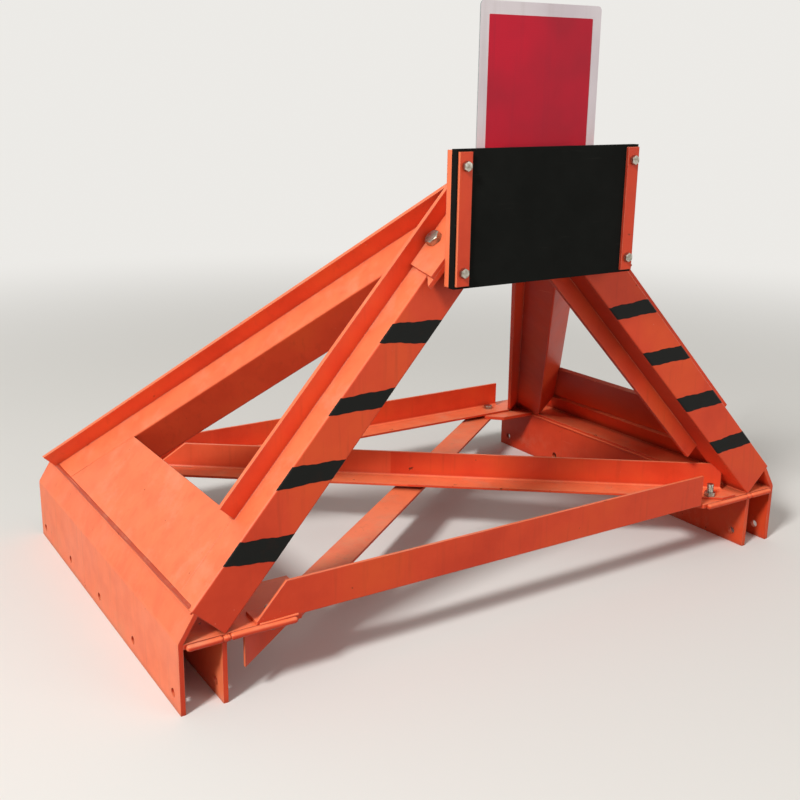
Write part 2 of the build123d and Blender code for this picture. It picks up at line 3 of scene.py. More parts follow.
import json
import logging
import math
from dataclasses import dataclass, replace
from enum import Enum
from functools import partial
from typing import Any, Callable, Sequence

import bpy
import numpy as np
from mathutils import Matrix, Vector


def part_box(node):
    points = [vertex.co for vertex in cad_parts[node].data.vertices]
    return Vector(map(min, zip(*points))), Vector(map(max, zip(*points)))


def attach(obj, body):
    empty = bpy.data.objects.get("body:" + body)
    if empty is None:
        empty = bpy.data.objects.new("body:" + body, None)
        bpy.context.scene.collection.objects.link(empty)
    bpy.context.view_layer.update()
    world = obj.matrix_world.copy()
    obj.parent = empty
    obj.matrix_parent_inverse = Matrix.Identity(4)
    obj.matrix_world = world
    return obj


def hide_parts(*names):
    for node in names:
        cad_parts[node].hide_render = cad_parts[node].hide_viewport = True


log = logging.getLogger("buffer_stop")
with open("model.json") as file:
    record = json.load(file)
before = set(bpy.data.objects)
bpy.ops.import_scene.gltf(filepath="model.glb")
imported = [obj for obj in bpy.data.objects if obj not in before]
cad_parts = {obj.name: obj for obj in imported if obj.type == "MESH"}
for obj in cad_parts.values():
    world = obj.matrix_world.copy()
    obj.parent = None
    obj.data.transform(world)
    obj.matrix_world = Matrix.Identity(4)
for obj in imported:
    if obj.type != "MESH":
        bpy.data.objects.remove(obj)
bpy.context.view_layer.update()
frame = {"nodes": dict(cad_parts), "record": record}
MM = 0.001
MERGE = 1e-6
Array = np.ndarray
ACROSS, ALONG, UPWARD = np.eye(3)
OFF_AXIS = (0.267, 0.535, 0.802)  # A direction that no bead or bar runs along


def linear(hex_colour: str) -> tuple[float, float, float, float]:
    """Turn an sRGB hex value into linear colour.

    Args:
        hex_colour: Six hex digits after a hash sign.

    Returns:
        Linear red, green and blue with an alpha of 1.
    """
    parts = [int(hex_colour[i:i + 2], 16) / 255 for i in (1, 3, 5)]
    curve = [p / 12.92 if p <= 0.04045 else ((p + 0.055) / 1.055) ** 2.4 for p in parts]
    return (curve[0], curve[1], curve[2], 1.0)


def per_metre(size_mm: float) -> float:
    """Texture scale at which a pattern has this real size in millimetres."""
    return 1000 / size_mm


def wire(node: bpy.types.Node, settings: dict[str, Any] | None = None, **links: Any) -> bpy.types.Node:
    """Set a node's values and link its inputs.

    An input is given by its name, or by its number after in_. Numbers 6 and 7 of a Mix node are its two
    colours.

    Args:
        node: The node.
        settings: Node properties by name, socket values by socket name, and a colour ramp's stops as
            pairs of place and sRGB hex colour. A hex colour is turned to linear.
        **links: What each input is linked from, by input name, with spaces written as underscores. A
            node stands for its first output in use.

    Returns:
        The same node.
    """
    def find_input(name: str) -> bpy.types.NodeSocket:
        """Input socket of that name or number."""
        return node.inputs[int(name[3:]) if name.startswith("in_") else name.replace("_", " ")]

    for name, value in (settings or {}).items():
        if name == "stops":
            elements = node.color_ramp.elements
            for element, (place, colour) in zip(elements, value):
                element.position, element.color = place, linear(colour)
            for place, colour in value[2:]:
                elements.new(place).color = linear(colour)
        elif hasattr(node, name):
            setattr(node, name, value)
        else:
            find_input(name).default_value = linear(value) if isinstance(value, str) else value
    for name, source in links.items():
        if isinstance(source, bpy.types.Node):
            source = next(output for output in source.outputs if output.enabled)
        node.id_data.links.new(source, find_input(name))
    return node


def add_node(tree: bpy.types.NodeTree, kind: str, settings: dict[str, Any] | None = None,
             **links: Any) -> bpy.types.Node:
    """Add a shader node, set it and link it, as wire does.

    Args:
        tree: Node tree of the material.
        kind: Blender's name of the node type, without ShaderNode in front.
        settings: Values by name.
        **links: What each input is linked from.

    Returns:
        The new node.
    """
    return wire(tree.nodes.new(f"ShaderNode{kind}"), settings, **links)


def new_material(name: str) -> tuple[bpy.types.Material, Callable[..., bpy.types.Node], bpy.types.Node,
                                     bpy.types.NodeSocket]:
    """Make a node material with one shader.

    Args:
        name: What the real material is.

    Returns:
        The material, add_node for its tree, its shader and the place on the object.
    """
    material = bpy.data.materials.new(name)
    material.use_nodes = True
    add = partial(add_node, material.node_tree)
    return material, add, material.node_tree.nodes["Principled BSDF"], add("TexCoord").outputs["Object"]


def seen_rays(tree: bpy.types.NodeTree) -> bpy.types.Node:
    """Pick out the rays by which the camera, metal and glass see the floor or the backdrop.

    Args:
        tree: Node tree of the floor or the world.

    Returns:
        A node that is 1 for those rays.
    """
    rays = add_node(tree, "LightPath").outputs
    seen = add_node(tree, "Math", {"operation": "MAXIMUM"},
                    in_0=rays["Is Camera Ray"], in_1=rays["Is Glossy Ray"])
    return add_node(tree, "Math", {"operation": "MAXIMUM"}, in_0=seen, in_1=rays["Is Transmission Ray"])


class Slot(Enum):
    """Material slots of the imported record."""

    PAINT = "orange_paint"
    RUBBER = "black_rubber"
    ZINC = "zinc_steel"
    SHEET = "marker_sheet"


@dataclass(frozen=True)
class OrangeEnamel:
    """Orange enamel sprayed on hot-rolled mild steel plate, and left out in a dusty yard.

    It is satin with orange peel. Where it faces up or outwards it is painted paler, as painted sunlight
    with some chalking, and its inner faces higher up are painted darker, as painted shade. Dust lies on
    top, grime has run down the slopes, the corners are painted darker as shade, edges are rubbed, and
    grit has knocked off specks that rust.
    """

    name: str = "orange enamel on mild steel"
    fresh: str = "#E24A28"
    deep: str = "#D23E20"
    warm: str = "#E65429"
    # Paler colour for painted sunlight with some chalking, and darker colour for painted shade
    sunlit_and_chalked: str = "#FF8355"
    painted_shade: str = "#A02818"
    dust: str = "#CFA78A"
    # Grime colour, also used as the painted shade in the corners
    grime_and_corner_shade: str = "#6B2A1A"
    rubbed: str = "#F2A183"
    rust: str = "#5E2E18"
    cloud_mm: float = 260.0
    spray_mm: float = 48.0
    peel_mm: float = 2.4
    run_mm: float = 13.0
    run_stretch: float = 0.06
    corner_mm: float = 26.0
    dust_mm: float = 90.909
    edge_mm: float = 2.6
    chip_mm: float = 26.0
    scratch_mm: float = 5.0
    splash_mm: float = 95.0
    # Heights over which the inner faces take on the painted shade
    painted_shade_heights_m: tuple[float, float] = (0.2, 0.32)

    def make(self) -> bpy.types.Material:
        """Build the node material.

        Returns:
            The enamel.
        """
        material, add, shader, place = new_material(self.name)
        normal = add("NewGeometry").outputs["Normal"]
        facing = add("SeparateXYZ", Vector=normal).outputs
        spot = add("SeparateXYZ", Vector=place).outputs

        # Painted sunlight with some chalking on what faces up or away from the track's middle, and painted
        # shade on the inner faces higher up
        upward = add("MapRange", {"From Min": 0.2, "From Max": 0.7, "To Max": 0.9}, Value=facing["Z"])
        away = add("Math", {"operation": "SIGN"}, in_0=spot["X"])
        sideways = add("Math", {"operation": "MULTIPLY"}, in_0=away, in_1=facing["X"])
        outward = add("MapRange", {"From Min": 0.4, "From Max": 0.95, "To Max": 0.95}, Value=sideways)
        sunlit_and_chalked_mask = add("Math", {"operation": "MAXIMUM"}, in_0=upward, in_1=outward)
        # Painted shade: inner faces higher up turn to the darker colour
        inward = add("MapRange", {"From Min": -0.3, "From Max": -0.7, "To Max": 0.8}, Value=sideways)
        low_end, high_end = self.painted_shade_heights_m
        lifted = add("MapRange", {"From Min": low_end, "From Max": high_end}, Value=spot["Z"])
        painted_shade_mask = add("Math", {"operation": "MULTIPLY"}, in_0=inward, in_1=lifted)

        # Body colour in slow clouds, with the overlaps of the spray gun on it
        clouds = add("TexNoise", {"Scale": per_metre(self.cloud_mm), "Detail": 5.0, "Roughness": 0.6},
                     Vector=place)
        body = add("ValToRGB", {"stops": [(0.34, self.deep), (0.5, self.fresh), (0.66, self.warm)]},
                   Fac=clouds)
        spray = add("TexNoise", {"Scale": per_metre(self.spray_mm), "Detail": 4.0, "Roughness": 0.55},
                    Vector=place)
        overlap = add("MapRange", {"From Min": 0.42, "From Max": 0.7, "To Max": 0.2}, Value=spray)

        # Grime in long runs down the slopes, and painted shade in the corners, found by ambient occlusion
        stretched = add("Mapping", {"Scale": (1.0, 1.0, self.run_stretch)}, Vector=place)
        runs = add("TexNoise", {"Scale": per_metre(self.run_mm), "Detail": 3.0, "Roughness": 0.55},
                   Vector=stretched)
        run_mask = add("MapRange", {"From Min": 0.56, "From Max": 0.8, "To Max": 0.3}, Value=runs)
        dark_line = add("Math", {"operation": "MULTIPLY"}, in_0=run_mask, in_1=clouds)
        corners = add("AmbientOcclusion",
                      {"samples": 6, "only_local": False, "Distance": self.corner_mm * MM}).outputs["AO"]
        corner_shade_mask = add("MapRange", {"From Min": 0.75, "From Max": 0.35, "To Max": 0.55}, Value=corners)
        grime_and_corner_shade_mask = add("Math", {"operation": "MAXIMUM"}, in_0=dark_line, in_1=corner_shade_mask)

        # Dust: patches on what faces up, and splashes near the ground
        patches = add("TexNoise", {"Scale": per_metre(self.dust_mm), "Detail": 9.0, "Roughness": 0.72},
                      Vector=place)
        patchy = add("MapRange", {"From Min": 0.5, "From Max": 0.76, "To Max": 0.5}, Value=patches)
        lying = add("Math", {"operation": "MULTIPLY"}, in_0=patchy, in_1=upward)
        low = add("MapRange", {"From Min": self.splash_mm * MM, "From Max": 0.0, "To Max": 0.9},
                  Value=spot["Z"])
        splashed = add("Math", {"operation": "MULTIPLY"}, in_0=low, in_1=patchy)
        dusty = add("Math", {"operation": "ADD", "use_clamp": True}, in_0=lying, in_1=splashed)

        # Edges rubbed paler, found where the rounded normal leaves the flat one
        rounded = add("Bevel", {"samples": 4, "Radius": self.edge_mm * MM})
        flush = add("VectorMath", {"operation": "DOT_PRODUCT"}, in_0=rounded, in_1=normal)
        edge = add("MapRange", {"From Min": 0.985, "From Max": 0.86}, Value=flush)
        handled = add("MapRange", {"From Min": 0.35, "From Max": 0.65, "To Max": 0.7}, Value=spray)
        rubs = add("Math", {"operation": "MULTIPLY"}, in_0=edge, in_1=handled)

        # Scratches from chains and tools, drawn along one slanting way
        raked = add("Mapping", {"Rotation": (0.4, 0.7, 0.3), "Scale": (1.0, 0.02, 0.6)}, Vector=place)
        hairs = add("TexNoise", {"Scale": per_metre(self.scratch_mm), "Detail": 1.0}, Vector=raked)
        scratches = add("MapRange", {"From Min": 0.79, "From Max": 0.83, "To Max": 0.4}, Value=hairs)

        # Chips down to the steel, more of them on the edges
        grit = add("TexNoise", {"Scale": per_metre(self.chip_mm), "Detail": 10.0, "Roughness": 0.62},
                   Vector=place)
        knocked = add("Math", {"operation": "MULTIPLY_ADD", "in_1": 0.07}, in_0=edge, in_2=grit)
        chips = add("MapRange", {"From Min": 0.705, "From Max": 0.72, "To Max": 0.9}, Value=knocked)

        # Each layer lies over the ones before it: painted sunlight with chalking, painted shade, spray
        # overlaps, grime with painted corner shade, dust, rubs, scratches and chips
        colour = body
        for mask, coat in ((sunlit_and_chalked_mask, self.sunlit_and_chalked), (painted_shade_mask, self.painted_shade), (overlap, self.deep),
                           (grime_and_corner_shade_mask, self.grime_and_corner_shade), (dusty, self.dust), (rubs, self.rubbed),
                           (scratches, self.rubbed), (chips, self.rust)):
            colour = add("Mix", {"data_type": "RGBA", "in_7": coat}, Factor=mask, in_6=colour)

        # Satin under the orange peel of the spray, duller where dust lies and rougher at the sunken chips
        satin = add("MapRange", {"From Min": 0.3, "From Max": 0.7, "To Min": 0.36, "To Max": 0.52},
                    Value=clouds)
        dull = add("Math", {"operation": "MAXIMUM"}, in_0=dusty, in_1=chips)
        roughness = add("Math", {"operation": "MULTIPLY_ADD", "in_1": 0.4}, in_0=dull, in_2=satin)
        peel = add("TexNoise", {"Scale": per_metre(self.peel_mm), "Detail": 2.0}, Vector=place)
        skin = add("Math", {"operation": "MULTIPLY_ADD", "in_1": -2.0}, in_0=chips, in_2=peel)
        bump = add("Bump", {"Strength": 0.14, "Distance": 0.4 * MM}, Height=skin, Normal=rounded)
        wire(shader, {"IOR": 1.5, "Specular IOR Level": 0.28}, Base_Color=colour, Roughness=roughness,
             Normal=bump)
        return material


@dataclass(frozen=True)
class BlackPaint:
    """Black enamel brushed on by hand over the orange: satin, with the drag of the brush across the leg.

    Where the brush ran dry the orange shows through as a brown haze.
    """

    name: str = "black brushed enamel"
    colour: str = "#121311"
    thin: str = "#241813"
    drag_mm: float = 3.2
    dry_mm: float = 40.0

    def make(self) -> bpy.types.Material:
        """Build the node material.

        Returns:
            The black enamel.
        """
        material, add, shader, place = new_material(self.name)
        dry = add("TexNoise", {"Scale": per_metre(self.dry_mm), "Detail": 8.0, "Roughness": 0.65},
                  Vector=place)
        cover = add("ValToRGB", {"stops": [(0.55, self.colour), (0.8, self.thin)]}, Fac=dry)
        sheen = add("MapRange", {"From Min": 0.3, "From Max": 0.7, "To Min": 0.4, "To Max": 0.6}, Value=dry)
        level = add("Mapping", {"Scale": (0.12, 1.0, 1.0)}, Vector=place)
        hairs = add("TexNoise", {"Scale": per_metre(self.drag_mm), "Detail": 3.0}, Vector=level)
        bump = add("Bump", {"Strength": 0.2, "Distance": 0.3 * MM}, Height=hairs)
        wire(shader, {"Specular IOR Level": 0.14}, Base_Color=cover, Roughness=sheen, Normal=bump)
        return material


@dataclass(frozen=True)
class BlackRubber:
    """Moulded black rubber sheet: matt, with a fine grain, scuffs and a faint bloom of grey dust."""

    name: str = "moulded black rubber"
    colour: str = "#121311"
    bloom: str = "#1A1B19"
    scuff: str = "#2C2B28"
    grain_mm: float = 1.6
    haze_mm: float = 150.0
    scuff_mm: float = 9.0
    edge_mm: float = 2.0

    def make(self) -> bpy.types.Material:
        """Build the node material.

        Returns:
            The rubber.
        """
        material, add, shader, place = new_material(self.name)
        haze = add("TexNoise", {"Scale": per_metre(self.haze_mm), "Detail": 7.0, "Roughness": 0.6},
                   Vector=place)
        bloom = add("ValToRGB", {"stops": [(0.4, self.colour), (0.75, self.bloom)]}, Fac=haze)
        dragged = add("Mapping", {"Rotation": (0.0, 0.5, 0.0), "Scale": (0.1, 1.0, 1.0)}, Vector=place)
        marks = add("TexNoise", {"Scale": per_metre(self.scuff_mm), "Detail": 4.0}, Vector=dragged)
        scuffs = add("MapRange", {"From Min": 0.66, "From Max": 0.8, "To Max": 0.5}, Value=marks)
        scuffed = add("Mix", {"data_type": "RGBA", "in_7": self.scuff}, Factor=scuffs, in_6=bloom)
        grain = add("TexNoise", {"Scale": per_metre(self.grain_mm), "Detail": 3.0}, Vector=place)
        edge = add("Bevel", {"samples": 4, "Radius": self.edge_mm * MM})
        bump = add("Bump", {"Strength": 0.25, "Distance": 0.4 * MM}, Height=grain, Normal=edge)
        wire(shader, {"Roughness": 0.88, "Specular IOR Level": 0.08}, Base_Color=scuffed, Normal=bump)
        return material


@dataclass(frozen=True)
class ZincPlate:
    """Zinc-plated steel of bolts and nuts: grey, dull in patches, brown where dirt has stayed."""

    name: str = "zinc-plated steel"
    bright: str = "#B9B4A8"
    dull: str = "#8C8477"
    stain: str = "#6E4F38"
    patch_mm: float = 9.0
    edge_mm: float = 0.7

    def make(self) -> bpy.types.Material:
        """Build the node material.

        Returns:
            The plated steel.
        """
        material, add, shader, place = new_material(self.name)
        patches = add("TexNoise", {"Scale": per_metre(self.patch_mm), "Detail": 5.0, "Roughness": 0.6},
                      Vector=place)
        plate = add("ValToRGB", {"stops": [(0.42, self.bright), (0.62, self.dull), (0.78, self.stain)]},
                    Fac=patches)
        dull = add("MapRange", {"From Min": 0.3, "From Max": 0.75, "To Min": 0.24, "To Max": 0.5},
                   Value=patches)
        edge = add("Bevel", {"samples": 4, "Radius": self.edge_mm * MM})
        wire(shader, {"Metallic": 1.0}, Base_Color=plate, Roughness=dull, Normal=edge)
        return material


@dataclass(frozen=True)
class GalvanisedSheet:
    """Hot-dip galvanised sheet: dull grey with the patches of its spangle, and white bloom in streaks."""

    name: str = "galvanised steel sheet"
    light: str = "#B4B7B7"
    dark: str = "#A4A8A9"
    bloom: str = "#C6C7C4"
    spangle_mm: float = 14.0
    streak_mm: float = 18.1818

    def make(self) -> bpy.types.Material:
        """Build the node material.

        Returns:
            The galvanised sheet.
        """
        material, add, shader, place = new_material(self.name)
        spangle = add("TexVoronoi", {"Scale": per_metre(self.spangle_mm)}, Vector=place)
        tone = add("SeparateColor", Color=spangle.outputs["Color"]).outputs
        grey = add("ValToRGB", {"stops": [(0.2, self.dark), (0.8, self.light)]}, Fac=tone["Red"])
        stretched = add("Mapping", {"Scale": (1.0, 1.0, 0.08)}, Vector=place)
        streaks = add("TexNoise", {"Scale": per_metre(self.streak_mm), "Detail": 4.0}, Vector=stretched)
        streaky = add("MapRange", {"From Min": 0.55, "From Max": 0.75, "To Max": 0.4}, Value=streaks)
        bloomed = add("Mix", {"data_type": "RGBA", "in_7": self.bloom}, Factor=streaky, in_6=grey)
        glint = add("MapRange", {"To Min": 0.38, "To Max": 0.6}, Value=tone["Green"])
        wire(shader, {"Metallic": 0.8}, Base_Color=bloomed, Roughness=glint)
        return material


@dataclass(frozen=True)
class ReflectiveSheet:
    """Reflective road-sign sheeting, rolled on sheet metal: its beads show as a fine cell pattern.

    It has faded in patches, and dust has streaked down it.
    """

    name: str
    colour: str
    faded: str
    streak: str
    cell_mm: float = 4.0
    patch_mm: float = 210.0
    streak_mm: float = 16.0

    def make(self) -> bpy.types.Material:
        """Build the node material.

        Returns:
            The sheeting.
        """
        material, add, shader, place = new_material(self.name)
        patches = add("TexNoise", {"Scale": per_metre(self.patch_mm), "Detail": 3.0}, Vector=place)
        faded = add("ValToRGB", {"stops": [(0.38, self.faded), (0.62, self.colour)]}, Fac=patches)
        cells = add("TexVoronoi", {"feature": "DISTANCE_TO_EDGE", "Scale": per_metre(self.cell_mm),
                                   "Randomness": 0.0}, Vector=place)
        lattice = add("MapRange", {"From Max": 0.08, "To Min": 0.35, "To Max": 0.0}, Value=cells)
        beaded = add("Mix", {"data_type": "RGBA", "in_7": self.faded}, Factor=lattice, in_6=faded)
        stretched = add("Mapping", {"Scale": (1.0, 1.0, 0.05)}, Vector=place)
        streaks = add("TexNoise", {"Scale": per_metre(self.streak_mm), "Detail": 4.0}, Vector=stretched)
        streaky = add("MapRange", {"From Min": 0.52, "From Max": 0.8, "To Max": 0.3}, Value=streaks)
        streaked = add("Mix", {"data_type": "RGBA", "in_7": self.streak}, Factor=streaky, in_6=beaded)
        wire(shader, {"Roughness": 0.5, "Specular IOR Level": 0.15, "Coat Weight": 0.05,
                      "Coat Roughness": 0.3}, Base_Color=streaked)
        return material


@dataclass(frozen=True)
class StudioFloor:
    """Matt pale floor, plain: it keeps the shadow near the object and fades into the backdrop far away.

    It looks pale, and throws back only as much light as the ground of a yard does.
    """

    name: str = "matt pale floor"
    colour: str = "#E9E7E2"
    thrown_back: str = "#A39C93"
    backdrop: str = "#F4F2EE"
    backdrop_strength: float = 0.93
    fade_from_m: float = 1.6
    fade_to_m: float = 5.5

    def make(self) -> bpy.types.Material:
        """Build the node material.

        Returns:
            The floor.
        """
        material, add, shader, place = new_material(self.name)
        tree = material.node_tree
        shown = seen_rays(tree)
        pale = add("Mix", {"data_type": "RGBA", "in_6": self.thrown_back, "in_7": self.colour}, Factor=shown)
        wire(shader, {"Roughness": 0.9, "Specular IOR Level": 0.1}, Base_Color=pale)
        distance = add("VectorMath", {"operation": "LENGTH"}, in_0=place)
        far = add("MapRange", {"interpolation_type": "SMOOTHSTEP", "From Min": self.fade_from_m,
                               "From Max": self.fade_to_m}, Value=distance)
        seen = add("Math", {"operation": "MULTIPLY"}, in_0=far, in_1=shown)
        glow = add("Emission", {"Color": self.backdrop, "Strength": self.backdrop_strength})
        fade = add("MixShader", in_0=seen, in_1=shader, in_2=glow)
        wire(tree.nodes["Material Output"], Surface=fade)
        return material


def put_mesh(name: str, points: Array, quads: Array, material: bpy.types.Material,
             smooth: bool = False) -> bpy.types.Object:
    """Make an object from arrays, at the origin, with its place in its mesh.

    Points that coincide become one, which closes seams and poles. Each quad becomes two triangles, and
    those that have shrunk to a line are left out.

    Args:
        name: Name of the piece.
        points: Corner places in metres, one row each.
        quads: Corner numbers of the faces, one row each.
        material: Its finish.
        smooth: Whether faces shade smoothly.

    Returns:
        The object.
    """
    places = np.round(np.asarray(points, float) / MERGE).astype(np.int64)
    _, first, merged = np.unique(places, axis=0, return_index=True, return_inverse=True)
    corners = merged.reshape(-1)[quads]
    halves = np.concatenate([corners[:, [0, 1, 2]], corners[:, [0, 2, 3]]])
    whole = (halves != np.roll(halves, 1, axis=1)).all(axis=1)
    used, numbers = np.unique(halves[whole], return_inverse=True)
    count = int(whole.sum())
    mesh = bpy.data.meshes.new(name)
    mesh.vertices.add(len(used))
    mesh.vertices.foreach_set("co", np.asarray(points, np.float32)[first][used].ravel())
    mesh.loops.add(3 * count)
    mesh.loops.foreach_set("vertex_index", numbers.astype(np.int32).ravel())
    mesh.polygons.add(count)
    mesh.polygons.foreach_set("loop_start", np.arange(0, 3 * count, 3, dtype=np.int32))
    mesh.polygons.foreach_set("use_smooth", np.full(count, smooth))
    mesh.update(calc_edges=True)
    mesh.validate()
    mesh.materials.append(material)
    piece = bpy.data.objects.new(name, mesh)
    bpy.context.scene.collection.objects.link(piece)
    return piece


def grid_faces(rows: int, columns: int, wrap: bool = False) -> Array:
    """Quads of a grid of points.

    Args:
        rows: Points along the first parameter.
        columns: Points along the second parameter.
        wrap: Whether the second parameter closes on itself.

    Returns:
        Corner numbers, four to a row.
    """
    last = columns if wrap else columns - 1
    row, column = np.meshgrid(np.arange(rows - 1), np.arange(last), indexing="ij")
    following = (column + 1) % columns
    corners = (row * columns + column, row * columns + following,
               (row + 1) * columns + following, (row + 1) * columns + column)
    return np.stack([c.ravel() for c in corners], axis=1)


def film_faces(rows: int, columns: int) -> Array:
    """Quads of a closed film whose lower grid of points comes before its upper one.

    Args:
        rows: Points along the first parameter of either grid.
        columns: Points along the second.

    Returns:
        Corner numbers of the underside, the face and the rim between them, four to a row.
    """
    under = grid_faces(rows, columns)
    lift = rows * columns
    right = np.arange(1, rows) * columns + columns - 1
    last = (rows - 1) * columns + np.arange(columns - 2, -1, -1)
    left = np.arange(rows - 2, 0, -1) * columns
    loop = np.concatenate([np.arange(columns), right, last, left])
    following = np.roll(loop, -1)
    rim = np.stack([loop, following, following + lift, loop + lift], axis=1)
    return np.concatenate([under[:, ::-1], under + lift, rim])


def joined(forms: Sequence[tuple[Array, Array]]) -> tuple[Array, Array]:
    """Several forms as one.

    Args:
        forms: Points and quads of each.

    Returns:
        Points and quads.
    """
    starts = np.cumsum([0] + [len(points) for points, _ in forms[:-1]])
    return (np.concatenate([points for points, _ in forms]),
            np.concatenate([quads + start for (_, quads), start in zip(forms, starts)]))


def unit(vector: Array) -> Array:
    """Vector of length one along another."""
    return vector / np.linalg.norm(vector)


def tube(path: Array, radius: Callable[[Array], Array], sides: int = 10) -> tuple[Array, Array]:
    """Round rod along a path, with a rounded tip at each end.

    The surface is P(s, a) = path(s) + t(s) r(s) (n cos a + b sin a), with n and b square to the path.
    The taper t(s) is the quarter circle sqrt(1 - (1 - d / r)^2) of the distance d to the nearer end.

    Args:
        path: Points along the middle line, in metres.
        radius: Radius in metres as a function of the length run so far.
        sides: Points round the rod.

    Returns:
        Points and quads.
    """
    steps = np.diff(path, axis=0)
    run = np.concatenate([[0.0], np.cumsum(np.linalg.norm(steps, axis=1))])
    heading = np.gradient(path, axis=0)
    heading /= np.linalg.norm(heading, axis=1, keepdims=True)
    side_way = np.cross(heading, OFF_AXIS)
    side_way /= np.linalg.norm(side_way, axis=1, keepdims=True)
    other_way = np.cross(heading, side_way)
    angle = np.arange(sides) * 2 * math.pi / sides
    size = radius(run)
    share = np.clip(np.minimum(run, run[-1] - run) / size, 0.0, 1.0)
    size = size * np.sqrt(1 - (1 - share) ** 2)
    spokes = (side_way[:, None, :] * np.cos(angle)[None, :, None]
              + other_way[:, None, :] * np.sin(angle)[None, :, None])
    rings = path[:, None, :] + size[:, None, None] * spokes
    return rings.reshape(-1, 3), grid_faces(len(path), sides, wrap=True)[:, ::-1]


@dataclass(frozen=True)
class WeldBead:
    """Hand-laid arc weld, painted over: a low ridge with the ripples of the weave."""

    size_mm: float = 3.2
    ripple_mm: float = 4.6
    ripple_depth: float = 0.16
    swell_depth: float = 0.1
    swell_mm: float = 37.0
    wander_mm: float = 0.45
    wander_pitch_mm: float = 21.0
    wander_way: tuple[float, float, float] = (0.0, 0.3, 0.6)
    turns_per_m: float = 9.0
    step_mm: float = 1.2
    sides: int = 10

    def lay(self, name: str, start: Array, end: Array, material: bpy.types.Material) -> bpy.types.Object:
        """Lay a straight bead between two points.

        The radius is R (1 + d |sin(pi s / p)| + e sin(s / q)), with p the ripple's pitch and q the pitch
        of the slow swell, and the middle line wanders by w sin(s / c). Swell and wander start from a
        phase that depends on the place, so that no two beads are alike.

        Args:
            name: Name of the piece.
            start: First point in metres.
            end: Last point in metres.
            material: Its finish.

        Returns:
            The bead.
        """
        length = float(np.linalg.norm(end - start))
        share = np.linspace(0.0, 1.0, max(8, int(length / (self.step_mm * MM))))[:, None]
        phase = float(start.sum()) * self.turns_per_m
        wander = self.wander_mm * MM * np.sin(share * length / (self.wander_pitch_mm * MM) + phase)
        path = start + (end - start) * share + wander * np.array(self.wander_way)

        def size(run: Array) -> Array:
            """Radius of the bead at each length run.

            Args:
                run: Lengths from the start, in metres.

            Returns:
                Radii in metres.
            """
            ripple = self.ripple_depth * np.abs(np.sin(math.pi * run / (self.ripple_mm * MM)))
            swell = self.swell_depth * np.sin(run / (self.swell_mm * MM) + phase)
            return self.size_mm * MM * (1 + ripple + swell)

        points, quads = tube(path, size, self.sides)
        bead = put_mesh(name, points, quads, material, smooth=True)
        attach(bead, "root")
        return bead


@dataclass(frozen=True)
class Bar:
    """Black bar across a leg's face: how far up the leg its lower and upper edges run, outside and inside."""

    low_outside: float
    low_inside: float
    high_outside: float
    high_inside: float


LEFT_BARS = (Bar(95, 161, 149, 221), Bar(262, 347, 315, 393), Bar(431, 514, 472, 561),
             Bar(602, 668, 648, 727))
RIGHT_BARS = (Bar(97, 168, 144, 211), Bar(256, 331, 305, 382), Bar(423, 501, 468, 544),
              Bar(585, 659, 628, 699))


